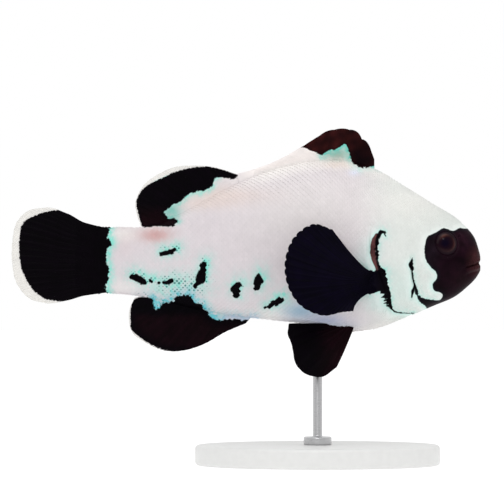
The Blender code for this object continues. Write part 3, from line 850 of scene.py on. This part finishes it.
eye_glaze = eye_finish()
for side, word in ((1, "left"), (-1, "right")):
    bpy.ops.mesh.primitive_uv_sphere_add(segments=96, ring_count=64, radius=1)
    eye = bpy.context.object
    eye.name = f"eye_ball_{word}"
    ball = vertex_places(eye)
    axis = unit(eye_axis(side))
    upward = unit(np.cross(axis, (1.0, 0, 0)))
    across = np.cross(upward, axis)
    dome = np.where(ball[:, 2] > 0, EYE_DOME, EYE_BACK) * ball[:, 2]
    centre = eye_centre(side)
    points = centre + EYE_RADIUS * (ball[:, :1] * across + ball[:, 1:2] * upward) + dome[:, None] * axis
    move_vertices(eye, points)
    give(eye, "from_axis", 1.06 * np.hypot(ball[:, 0], ball[:, 1]))
    from_pupil = points - (centre + EYE_DOME * axis + PUPIL_SHIFT)
    give(eye, "from_pupil", np.linalg.norm(from_pupil[:, (0, 2)], axis=1) / EYE_RADIUS)
    # Painted light: the iris is painted brightest at the top towards the rear, less at the front and little
    # below, as the light falls on it from above.
    angle = np.degrees(np.arctan2(centre[0] - points[:, 0], points[:, 2] - centre[2]))
    below = 0.1 * bell(np.abs(np.abs(angle) - 180) - 12, 34)
    give(eye, "painted_iris_light", 0.9 * bell(angle + 16, 30) + 0.44 * bell(angle - 97, 44) + below)
    bpy.ops.object.mode_set(mode="EDIT")
    bpy.ops.mesh.select_all(action="SELECT")
    bpy.ops.mesh.normals_make_consistent(inside=False)
    bpy.ops.object.mode_set(mode="OBJECT")
    bpy.ops.object.shade_smooth()
    settle(eye, eye_glaze, "eye", f"eye_{word}")


# ------------------------------------------------
# THE SCALES
# Thin overlapping scales in staggered rows, each a small solid shield rooted in the skin with its round free
# edge towards the tail. They grow from the head to the flank and shrink again towards the tail. A scale takes
# the skin's colours a little out of place and drawn in to its middle, so the markings' edges step.

# Distance behind the nose, and how far apart the scales of a column lie there.
PITCH = np.array((
    (3.0, 0.4), (9.0, 0.5), (17.0, 0.66), (22.0, 0.84), (40.0, 0.86), (55.0, 0.72), (66.0, 0.5),
))
LAST_SCALES = 65.6  # behind the nose
COLUMN_STEP = 0.46  # between columns, in pitches
SCALE_ALONG = np.array((0.0, 0.3, 0.62, 0.86, 1.0))
SCALE_WIDE = np.array((0.5, 0.92, 1.0, 0.86, 0.5))
SCALE_ACROSS = np.array((-1.0, -0.5, 0.0, 0.5, 1.0))
ROOT_LIFT, TIP_LIFT, CROWN, UNDER = -0.07, 0.13, 0.035, -0.16
PATCH = 0.003  # size of a scale's patch in its UV map
SWEEP_STEPS = 241  # places from the belly's ridge to the back's
RIDGE_GAP = 0.1  # no scale is rooted closer to either ridge
BARE_ROUND_EYE = 2.9  # no scale is rooted closer to the middle of an eye
ONWARD_STEP = 0.3  # a scale points to where the skin is this much further back
SHARP = math.radians(42)  # a scale's edges stay sharp over this angle


def scale_pattern():
    """One scale as a closed solid: its points as (along, across, lift), its faces, and its rim."""
    along, across = np.meshgrid(SCALE_ALONG, SCALE_ACROSS, indexing="ij")
    reach = along * (1 - 0.22 * across**2 * along**2)
    lift = ROOT_LIFT + (TIP_LIFT - ROOT_LIFT) * along**0.9 - CROWN * across**2
    top = np.stack([reach, across * SCALE_WIDE[:, None], lift], axis=-1).reshape(-1, 3)
    grid = np.arange(len(top)).reshape(along.shape)
    rim = np.concatenate([grid[0], grid[1:, -1], grid[-1, -2::-1], grid[-2:0:-1, 0]])
    foot = top[rim]
    foot[:, 2] = UNDER
    foot[:, 0] -= 0.05 * (foot[:, 0] > 0.3)
    quads = np.stack([grid[:-1, :-1], grid[:-1, 1:], grid[1:, 1:], grid[1:, :-1]], axis=-1).reshape(-1, 4)
    under = len(top) + np.arange(len(rim))
    walls = np.stack([np.roll(rim, -1), rim, under, np.roll(under, -1)], axis=-1)
    return np.concatenate([top, foot]), [*quads, *walls, under[::-1]], rim


PATTERN, PATTERN_FACES, PATTERN_RIM = scale_pattern()


def colour_scales(piece, points):
    """Colours each scale for itself. Its foot takes the colours of its rim."""
    count = len(points)
    tops = len(PATTERN) - len(PATTERN_RIM)
    onto = np.concatenate([np.arange(tops), PATTERN_RIM])
    middle = points[:, :tops].mean(axis=1, keepdims=True)
    seen = middle + 0.8 * (points[:, :tops] - middle) + rng.normal(0, 0.08, (count, 1, 3))
    greenness = np.repeat(rng.uniform(0.4, 1.3, count), tops)
    ink, dark, pale, shade_dotted = markings(seen.reshape(-1, 3), greenness)
    pale *= 1 + np.repeat(rng.normal(0, 0.012, count), tops)[:, None]
    shade_dotted *= np.repeat(rng.uniform(0.25, 1.2, count), tops)
    ink, dark, pale, shade_dotted = (
        values.reshape(count, tops, -1)[:, onto].reshape(count * len(onto), -1).squeeze()
        for values in (ink, dark, pale, shade_dotted)
    )
    paint(piece, ink, dark, pale)
    give(piece, "shade_dot", shade_dotted)


def lay_scales(name, roots, normals, alongs, lengths, widths, lifts, sheet_places):
    """All of those scales as one mesh, with its markings and a patch of the UV map for each of them."""
    acrosses = unit(np.cross(normals, alongs))
    count, each = len(roots), len(PATTERN)
    points = roots[:, None] + sum(
        ways[:, None] * (PATTERN[None, :, i : i + 1] * sizes[:, None, None])
        for i, (ways, sizes) in enumerate(((alongs, lengths), (acrosses, widths), (normals, lifts)))
    )
    sizes = [len(face) for face in PATTERN_FACES]
    loops = (np.concatenate(PATTERN_FACES) + each * np.arange(count)[:, None]).ravel()
    starts = np.concatenate([[0], np.cumsum(np.tile(sizes, count))[:-1]])
    mesh = bpy.data.meshes.new(name)
    mesh.vertices.add(count * each)
    mesh.loops.add(len(loops))
    mesh.polygons.add(len(starts))
    mesh.loops.foreach_set("vertex_index", loops.astype(np.int32))
    mesh.polygons.foreach_set("loop_start", starts.astype(np.int32))
    piece = bpy.data.objects.new(name, mesh)
    move_vertices(piece, points.reshape(-1, 3))
    mesh.update(calc_edges=True)
    mesh.validate()
    bpy.context.collection.objects.link(piece)
    colour_scales(piece, points)
    give(piece, "along", np.tile(PATTERN[:, 0], count))
    give(piece, "across", np.tile(PATTERN[:, 1], count))
    patch = PATCH * np.stack([PATTERN[:, 0] - 0.5, PATTERN[:, 1] / 2], axis=1)
    spread = (sheet_places[:, None] + patch).reshape(-1, 2)
    mesh.uv_layers.new(name="OFBake").data.foreach_set("uv", spread[loops].astype(np.float32).ravel())
    bpy.ops.object.select_all(action="DESELECT")
    piece.select_set(True)
    bpy.context.view_layer.objects.active = piece
    bpy.ops.object.shade_smooth_by_angle(angle=SHARP)
    settle(piece, scale_finish, "pale_skin")


def body_lattice(side):
    """Places of the roots over one side: distance behind the nose and turn round the body, and the pitch."""
    behinds, turns, pitches = [], [], []
    behind, column = PITCH[0, 0], 0
    sweep = np.linspace(-math.pi / 2, math.pi / 2, SWEEP_STEPS)
    while behind < LAST_SCALES:
        pitch = float(curve(PITCH[:, 0], PITCH[:, 1], behind))
        ring = flank(np.full(SWEEP_STEPS, behind), sweep)
        run = np.concatenate([[0], np.cumsum(np.linalg.norm(np.diff(ring, axis=0), axis=1))])
        middle = run[SWEEP_STEPS // 2]
        rows = np.arange(math.ceil(-middle / pitch), math.floor((run[-1] - middle) / pitch) + 1)
        places = middle + (rows + 0.5 * (column % 2)) * pitch
        places = places[(places > RIDGE_GAP) & (places < run[-1] - RIDGE_GAP)]
        angles = np.interp(places, run, sweep)
        behinds.append(np.full(len(places), behind))
        turns.append(angles if side > 0 else math.pi - angles)
        pitches.append(np.full(len(places), pitch))
        behind += COLUMN_STEP * pitch
        column += 1
    return np.concatenate(behinds), np.concatenate(turns), np.concatenate(pitches)


def scaled_here(points, pitch):
    """Where the body is scaled: not on the face, round the eyes, or along the edges of the head's plates."""
    flat = side_view(points)
    gape, height = past_gill_edge(flat), points[:, 2]
    edge = (gape > -1.3 * pitch) & (gape < 0.1) & (height < 5.0) & (height > -10.5)
    comb = (gape > 0) & (gape < 1.5) & (height < -5.0) & (height > -9.4)
    eye = np.linalg.norm(points[:, (0, 2)] - EYE, axis=1) < BARE_ROUND_EYE
    lines = (CHEEK_STROKE, CHEEK_BRANCH, GILL_STROKE, GILL_EDGING, GILL_BROWN)
    seams = np.max([stroke(flat, line) for line in lines], axis=0)
    return (blot(flat, MASK) < -0.35) & (seams < -0.3) & ~edge & ~eye & ~comb


def shade_dotted_finish():
    """The fish's colours, with painted shade along each scale's free edge and a dark green dot of painted
    shade near the free edge of a dotted one.
    """
    finish, tree, shader, colour = fish_finish("fish_scales", 0.0, 0.02, 0.3, 3000.0, 0.00002, 0.36, 0.4)
    along, across = attribute(tree, "along"), attribute(tree, "across")
    here = add(tree, "CombineXYZ", {"X": along, "Y": calculate(tree, "MULTIPLY", across, 0.45)})
    # Painted shade: a dark green dot near the free edge of each dotted scale, where shade lies under its tip.
    gap = add(tree, "VectorMath", {0: here, 1: (0.78, 0.0, 0.0)}, operation="DISTANCE")
    reach = calculate(tree, "MULTIPLY", attribute(tree, "shade_dot"), 0.24)
    dot = add(tree, "MapRange", {"Value": calculate(tree, "SUBTRACT", reach, gap), "From Max": 0.09})
    off_black = calculate(tree, "SUBTRACT", 1.0, colour.outputs["Blackness"])
    # Painted shade: each scale's colour darkens towards its free edge, where it lifts off the skin.
    edge = add(tree, "MapRange", {"Value": along, "From Min": 0.8, "To Min": 1.0, "To Max": 0.94})
    shaded = add(tree, "VectorMath", {0: colour, "Scale": edge}, operation="SCALE")
    share = calculate(tree, "MULTIPLY", dot, off_black)
    feed(shader, {"Base Color": mix(tree, share, shaded, (0.07, 0.24, 0.23, 1))})
    return finish


scale_finish = shade_dotted_finish()
for side, word in ((1, "left"), (-1, "right")):
    behind, turn, pitch = body_lattice(side)
    behind = behind + rng.normal(0, 0.02, len(behind)) * pitch
    points, normal = skin_at(behind, turn)
    keep = scaled_here(points, pitch)
    behind, turn, pitch, points, normal = (a[keep] for a in (behind, turn, pitch, points, normal))
    onward = skin_at(behind + ONWARD_STEP, turn)[0] - points
    stretch = np.linalg.norm(onward, axis=1) / ONWARD_STEP
    along = unit(onward)
    normal = unit(normal - np.einsum("ij,ij->i", normal, along)[:, None] * along)
    lifts = (0.6 + 0.5 * pitch) * (0.45 + 0.55 * ease(0.0, -1.6, blot(side_view(points), MASK)))
    for part, low, high in (("head", 0, 19), ("flank", 19, 35), ("rear", 35, 50), ("stalk", 50, 70)):
        here = (behind >= low) & (behind < high)
        share = (behind - behind[here].min()) / np.ptp(behind[here])
        sheet = np.stack([0.02 + 0.96 * share, 0.5 + 0.48 * np.sin(turn)], axis=1)
        lay_scales(
            f"scales_{part}_{word}", points[here], normal[here], along[here],
            1.28 * pitch[here] * np.minimum(stretch[here], 1.5), 0.6 * pitch[here], lifts[here], sheet[here],
        )


# ------------------------------------------------
# THE FINS
# Each fin is a thin webbed fan. The rays stand proud of the web, which is drawn in between their tips, and
# the soft ones split. The root thickens into the body, and the outer margin of the tail, the anal fin and the
# soft dorsal fin is clear. Each is a flat grid, drawn out over the rays and given a wall.
RAY_COLUMNS = 8  # faces of the grid from one ray to the next
WEB_THICKNESS = 0.12
RAY_SPLIT, RAY_WIDTH = 0.24, 0.12  # in gaps between rays
ROOT_FADE = 0.12  # share of a ray over which the thick root thins out
MARGIN_GREY = (0.76, 0.74, 0.70)
SHEATH_SHARE = 0.55  # the small scales end at this share of a ray at most
SHEATH_SUNK = 0.02  # how far their roots lie under the web's surface


def fan(share, out, rays, foot, tip, scallop, bow, bend, webbing, swell):
    """Points of a fin's web, each at a share of the way along the fin and out along its ray."""
    from_ray = np.abs((share * (rays - 1) + 0.5) % 1 - 0.5)
    reach = (out * (1 - scallop * (2 * from_ray) ** 2.5 * out))[:, None]
    start, end = foot(share), tip(share)
    middle = (start + end) / 2 + (0 if bend is None else bend(share))
    points = (1 - reach) ** 2 * start + 2 * reach * (1 - reach) * middle + reach**2 * end
    if swell:
        points[:, 2] += swell(share) * ease(0.45, 0.7, out) * ease(1.08, 0.85, out)
    points[:, 1] += bow * np.sin(out * math.pi) * np.sign(end[:, 1])
    # The web sags between the rays, to one side and the other along the fin.
    points[:, 1] += webbing * np.cos(2 * math.pi * share * (rays - 1)) * ease(0.05, 0.5, out)
    points[:, 1] += 0.2 * np.sin(5.3 * share + 2.0 * out) * out**2
    return points


def give_wall(piece, thickness):
    """Turns a sheet into a closed solid with that thickness at each of its vertices."""
    thickest = thickness.max()
    group = piece.vertex_groups.new(name="thickness")
    for index, weight in enumerate(thickness / thickest):
        group.add((index,), float(weight), "REPLACE")
    wall = piece.modifiers.new("wall", "SOLIDIFY")
    wall.thickness = thickest * MM
    wall.offset = 0.0
    wall.vertex_group = "thickness"
    bpy.ops.object.modifier_apply(modifier="wall")
    bpy.ops.object.shade_smooth()
    piece.vertex_groups.clear()


def kept_values(piece, name):
    values = np.empty(len(piece.data.vertices), np.float32)
    piece.data.attributes[name].data.foreach_get("value", values)
    return values


def colour_fin(piece, clear, blackness):
    """The fish's markings, streaked along the rays. Past the black, the web may be clear at its margin."""
    out, ray = kept_values(piece, "out"), kept_values(piece, "ray")
    x, y, z = vertex_places(piece).T
    points = np.stack([(NOSE_X - x) / MM, y / MM, (z - AXIS_Z) / MM], axis=1)
    ink, dark, pale, _ = markings(points)
    if blackness is not None:
        ink = np.full(len(points), blackness)
    if "pectoral" in piece.name:
        dark = np.tile(BLUE_INK, (len(points), 1))
    margin = (clear > 0) * ease(0.1, -0.1, ink) * ease(0.62, 0.75, out)
    streak = 1 + 0.3 * np.sin(ray * 5.1 + 1.3 * np.sin(ray * 1.7)) * np.sin(ray * 2.3 + out * 2)
    paint(piece, ink, dark * streak[:, None], toward(pale, MARGIN_GREY, margin))
    give(piece, "clear", clear * margin)


def fin(
    name, node, rays, foot, tip, root_thickness, ray_thickness, scallop, splits=1.0, rows=56, bow=0.0,
    bend=None, clear=0.0, blackness=None, webbing=0.06, sheath=None, swell=None,
):
    """foot and tip give the ends of the ray at a share of the way along the fin, as points of the fish.

    bend and swell draw the rays and the margin aside. sheath is the first and last distance out along the
    rays of the small scales on the fin's foot, and their pitch.
    """
    columns = (rays - 1) * RAY_COLUMNS
    bpy.ops.mesh.primitive_grid_add(x_subdivisions=columns, y_subdivisions=rows, size=2)
    piece = bpy.context.object
    piece.name = name
    flat = vertex_places(piece)
    share, out = flat[:, 0] / 2 + 0.5, flat[:, 1] / 2 + 0.5
    if "spiny" in name:
        # the web dips most behind the second spine
        scallop = scallop + 0.06 * bell(share - 1.5 / (rays - 1), 0.07)
    points = fan(share, out, rays, foot, tip, scallop, bow, bend, webbing, swell)
    move_vertices(piece, points)
    give(piece, "out", out)
    give(piece, "ray", share * (rays - 1))
    from_ray = np.abs((share * (rays - 1) + 0.5) % 1 - 0.5)
    parted = RAY_SPLIT * splits * ease(0.3, 1.0, out)
    ridge = bell(from_ray - parted, RAY_WIDTH) * (1 - 0.7 * out)
    root = np.exp(-out / ROOT_FADE)
    thickness = WEB_THICKNESS * (1 - 0.5 * out) + ray_thickness * ridge + root_thickness * root
    give_wall(piece, thickness)
    colour_fin(piece, clear, blackness)
    settle(piece, fin_finish, "fin", node)
    if sheath:
        lay = (rows + 1, columns + 1)
        sheathe(f"scales_{name}", points.reshape(*lay, 3), thickness.reshape(lay) / 2, *sheath)


def sheathe(name, sheet, wall, first, last, pitch):
    """Small scales over both sides of a fin's foot, in rows, each set between the last one's."""
    scales = []
    lines, columns = sheet.shape[:2]
    steps = np.linalg.norm(np.diff(sheet, axis=0), axis=2)
    run_out = np.concatenate([np.zeros((1, columns)), np.cumsum(steps, axis=0)])
    count = int(np.linalg.norm(np.diff(sheet[2], axis=0), axis=1).sum() / pitch)
    distance, row = first, 0
    while distance < last:
        for share in (np.arange(count) + 0.3 + 0.5 * (row % 2)) / count:
            column = round(share * (columns - 1))
            at_end = min(column, columns - 1 - column) < RAY_COLUMNS
            if at_end or distance > SHEATH_SHARE * run_out[-1, column]:
                continue
            line = int(np.clip(np.searchsorted(run_out[:, column], distance), 1, lines - 2))
            outward_way = sheet[line + 1, column] - sheet[line - 1, column]
            side_way = sheet[line, column + RAY_COLUMNS] - sheet[line, column - RAY_COLUMNS]
            spread = np.linalg.norm(side_way) / (2 * RAY_COLUMNS) * (columns - 1) / count
            face = unit(np.cross(outward_way, side_way))
            way = unit(outward_way) + np.array((0.3, 0, 0))
            way = unit(way - (way @ face) * face)
            before, after = run_out[line - 1 : line + 1, column]
            low, high = sheet[line - 1 : line + 1, column]
            root = low + (distance - before) / (after - before) * (high - low)
            for side in (1, -1):
                lifted = root + side * face * (wall[line, column] - SHEATH_SUNK)
                patch = (share, 0.5 + side * 0.48 * distance / last)
                scales.append((lifted, side * face, way, spread, patch))
        distance += 0.5 * pitch
        row += 1
    roots, normals, alongs, spreads, patches = (np.array(values) for values in zip(*scales))
    alike = np.ones(len(roots))
    lay_scales(name, roots, normals, alongs, 1.25 * pitch * alike, 0.64 * spreads, 0.3 * alike, patches)


def middle_plane(behind, height):
    """Points or shifts in the fish's middle plane."""
    return np.stack([behind, 0 * height, height], axis=1)


def over_body(first, last, edge, sunk):
    """Feet of a fin that stands on the back or hangs from the belly, sunk into the body."""

    def foot(share):
        behind = first + (last - first) * share
        back, belly, _, _ = section(behind)
        return middle_plane(behind, back - sunk if edge == "back" else belly + sunk)

    return foot


def through_tips(places, lefts=(0.0, 0.0), side=1):
    """The edge of a fin as a smooth line through the tips of evenly spaced rays."""
    behinds, heights = zip(*places)

    def tip(share):
        return np.stack([evenly(behinds, share), side * evenly(lefts, share), evenly(heights, share)], axis=1)

    return tip


fin_finish, tree, shader, _ = fish_finish("fin_web", 0.4, 0.06, 0.3, 1500.0, 0.00004, 0.5, 0.42)
feed(shader, {"Alpha": calculate(tree, "SUBTRACT", 1.0, attribute(tree, "clear"))})

SPINY_TIPS = (
    (18.3, 16.4), (19.3, 19.0), (21.4, 21.2), (23.8, 21.65), (26.4, 21.2), (29.0, 19.6), (31.6, 18.0),
    (34.8, 16.25), (38.2, 14.9), (41.95, 13.85),
)
fin(
    "fin_dorsal_spiny", "dorsal_fin_spiny", 10, over_body(18.3, 41.3, "back", 1.0), through_tips(SPINY_TIPS),
    1.1, 0.3, 0.02, splits=0.0, rows=48, sheath=(0.75, 2.3, 0.55),
)
SOFT_TIPS = (
    (41.8, 13.85), (45.6, 15.0), (49.2, 15.3), (52.6, 15.0), (55.6, 13.65), (57.8, 11.9), (59.15, 9.2),
    (58.95, 7.0), (58.25, 4.9),
)
fin(
    "fin_dorsal_soft", "dorsal_fin_soft", 17, over_body(41.2, 55.4, "back", 1.2), through_tips(SOFT_TIPS),
    1.1, 0.26, 0.005, clear=0.5, sheath=(0.9, 3.6, 0.6),
)
ANAL_TIPS = (
    (40.3, -11.7), (43.9, -13.25), (47.3, -15.2), (50.8, -16.35), (54.2, -16.4), (57.4, -15.1),
    (59.8, -13.15), (60.3, -9.9), (59.35, -7.35),
)
fin(
    "fin_anal", "anal_fin", 15, over_body(38.6, 55.8, "belly", 1.2), through_tips(ANAL_TIPS),
    1.1, 0.26, 0.005, clear=0.5, sheath=(0.9, 3.4, 0.6),
)

TAIL_START = 62.6
TAIL_TIPS = (
    (74.2, 8.0), (77.5, 7.5), (79.6, 5.4), (80.3, 2.0), (80.3, -1.4), (79.6, -4.7), (77.4, -7.4),
    (74.2, -8.25),
)


def tail_foot(share):
    back, belly, _, _ = section(np.array([TAIL_START]))
    return middle_plane(np.full_like(share, TAIL_START), back - 0.35 + (belly - back + 0.7) * share)


def tail_bend(share):
    return middle_plane(0 * share, 1.6 * share - 1.1)


def tail_swell(share):
    return 0.57 * (1 - share) ** 4 - 0.3 * share**4


fin(
    "fin_tail", "tail_fin", 19, tail_foot, through_tips(TAIL_TIPS), 0.3, 0.26, 0.004, rows=90,
    bend=tail_bend, clear=0.5, sheath=(2.6, 6.4, 0.5), swell=tail_swell,
)

PECTORAL_TIPS = (
    (25.7, 4.3), (29.0, 5.2), (32.2, 3.0), (33.7, -0.9), (33.3, -5.0), (31.1, -8.5), (27.4, -10.2),
    (24.2, -9.7), (22.1, -9.5),
)
PECTORAL_LEFTS = (12.0, 13.2, 14.2, 14.6, 14.5, 13.6, 12.1, 10.2, 8.6)
PELVIC_TIPS = (
    (24.8, -19.1), (27.3, -20.75), (30.1, -20.25), (31.8, -18.5), (32.4, -15.5), (33.1, -13.6), (32.9, -11.8),
)
PELVIC_LEFTS = (4.2, 4.4, 4.3, 4.0, 3.6, 3.2, 2.8)
for side, word in ((1, "left"), (-1, "right")):

    def pectoral_foot(share, side=side):
        behind = 18.7 - 0.2 * share
        height = -2.9 - 3.2 * share
        return np.stack([behind, side * (flank_width(behind, height) - 0.5), height], axis=1)

    pectoral_tip = through_tips(PECTORAL_TIPS, PECTORAL_LEFTS, side)

    def pectoral_bend(share, side=side, foot=pectoral_foot, tip=pectoral_tip):
        """The rays leave the fin's short stalk straight, so they turn where it ends."""
        out_behind = 20.6 + 1.2 * share + 2.1 * np.sin(math.pi * share)
        knee = np.stack([out_behind, side * (8.4 + 0 * share), -2.6 - 4.6 * share], axis=1)
        return knee - (foot(share) + tip(share)) / 2

    def pelvic_foot(share, side=side):
        return np.stack([21.9 + 2.4 * share, side * (1.9 - 0.2 * share), -12.5 + 0.5 * share], axis=1)

    def pelvic_bend(share):
        return middle_plane(0 * share, 0.9 * share - 0.5)

    fin(
        f"fin_pectoral_{word}", f"pectoral_fin_{word}", 24, pectoral_foot, pectoral_tip, 1.0, 0.2, 0.011,
        rows=70, bow=0.4, bend=pectoral_bend, blackness=2.0, webbing=0.04,
    )
    fin(
        f"fin_pelvic_{word}", f"pelvic_fin_{word}", 7, pelvic_foot,
        through_tips(PELVIC_TIPS, PELVIC_LEFTS, side), 0.8, 0.3, 0.006,
        rows=50, bend=pelvic_bend, blackness=2.0, webbing=0.05,
    )


# ------------------------------------------------
# THE STAND
# A plain oval plate in satin grey paint, with one thin steel post screwed into it through a turned collar.
# The plate is a disc with its edge rounded over, and the post is drawn up from its collar.
PLATE_ROUNDING, POST_CHAMFER = 0.7 * MM, 0.25 * MM
COLLAR_HEIGHT, COLLAR_SUNK = 1.4 * MM, 0.25 * MM
ROD_RADIUS, ROD_IN_BELLY = 0.8 * MM, 0.9 * MM


def soften(piece, width, segments):
    """Rounds its hard edges over and shades the rest smooth."""
    rim = piece.modifiers.new("rim", "BEVEL")
    rim.width = width
    rim.segments = segments
    rim.limit_method = "ANGLE"
    bpy.ops.object.modifier_apply(modifier="rim")
    bpy.ops.object.shade_smooth_by_angle(angle=math.radians(35))


low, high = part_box("stand_base")
bpy.ops.mesh.primitive_cylinder_add(
    vertices=180, radius=(high.x - low.x) / 2, depth=high.z - low.z,
    location=((low.x + high.x) / 2, 0, (low.z + high.z) / 2),
)
plate = bpy.context.object
plate.name = "stand_plate"
plate.scale = (1, (high.y - low.y) / (high.x - low.x), 1)
bpy.ops.object.transform_apply(location=True, rotation=True, scale=True)
soften(plate, PLATE_ROUNDING, 6)
finish, tree, shader = principled("grey_paint", {"Roughness": 0.38})
peel = noise(tree, 900.0, 2.0)
feed(shader, {
    "Base Color": mix(tree, peel, (0.70, 0.70, 0.69, 1), (0.76, 0.76, 0.75, 1)),
    "Normal": add(tree, "Bump", {"Height": peel, "Strength": 0.2, "Distance": 0.00002}),
})
settle(plate, finish, "stand_paint", "stand_base")

low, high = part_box("stand_post")
collar_radius = (high.x - low.x) / 2
bpy.ops.mesh.primitive_cylinder_add(
    vertices=64, radius=collar_radius, depth=COLLAR_HEIGHT,
    location=((low.x + high.x) / 2, 0, low.z + COLLAR_HEIGHT / 2 - COLLAR_SUNK),
)
post = bpy.context.object
post.name = "stand_rod"
bpy.ops.object.transform_apply(location=True, rotation=True, scale=True)
bpy.ops.object.mode_set(mode="EDIT")
bpy.ops.mesh.select_all(action="DESELECT")
bpy.ops.object.mode_set(mode="OBJECT")
for face in post.data.polygons:
    face.select = face.normal.z > 0.9
bpy.ops.object.mode_set(mode="EDIT")
bpy.ops.mesh.select_mode(type="FACE")
bpy.ops.mesh.inset(thickness=collar_radius - ROD_RADIUS)
rod_length = high.z - low.z - COLLAR_HEIGHT + ROD_IN_BELLY
bpy.ops.mesh.extrude_region_move(TRANSFORM_OT_translate={"value": (0, 0, rod_length)})
bpy.ops.object.mode_set(mode="OBJECT")
soften(post, POST_CHAMFER, 4)
finish, tree, shader = principled("brushed_rod", {"Metallic": 1.0, "Base Color": (0.6, 0.6, 0.61, 1)})
where = add(tree, "TexCoord", {}).outputs["Object"]
drawn = add(tree, "Mapping", {"Vector": where, "Scale": (800, 800, 9000)})
brushed = add(tree, "TexNoise", {"Vector": drawn, "Scale": 1.0, "Detail": 3.0})
feed(shader, {"Roughness": add(tree, "MapRange", {"Value": brushed, "To Min": 0.2, "To Max": 0.42})})
settle(post, finish, "stand_steel", "stand_post")
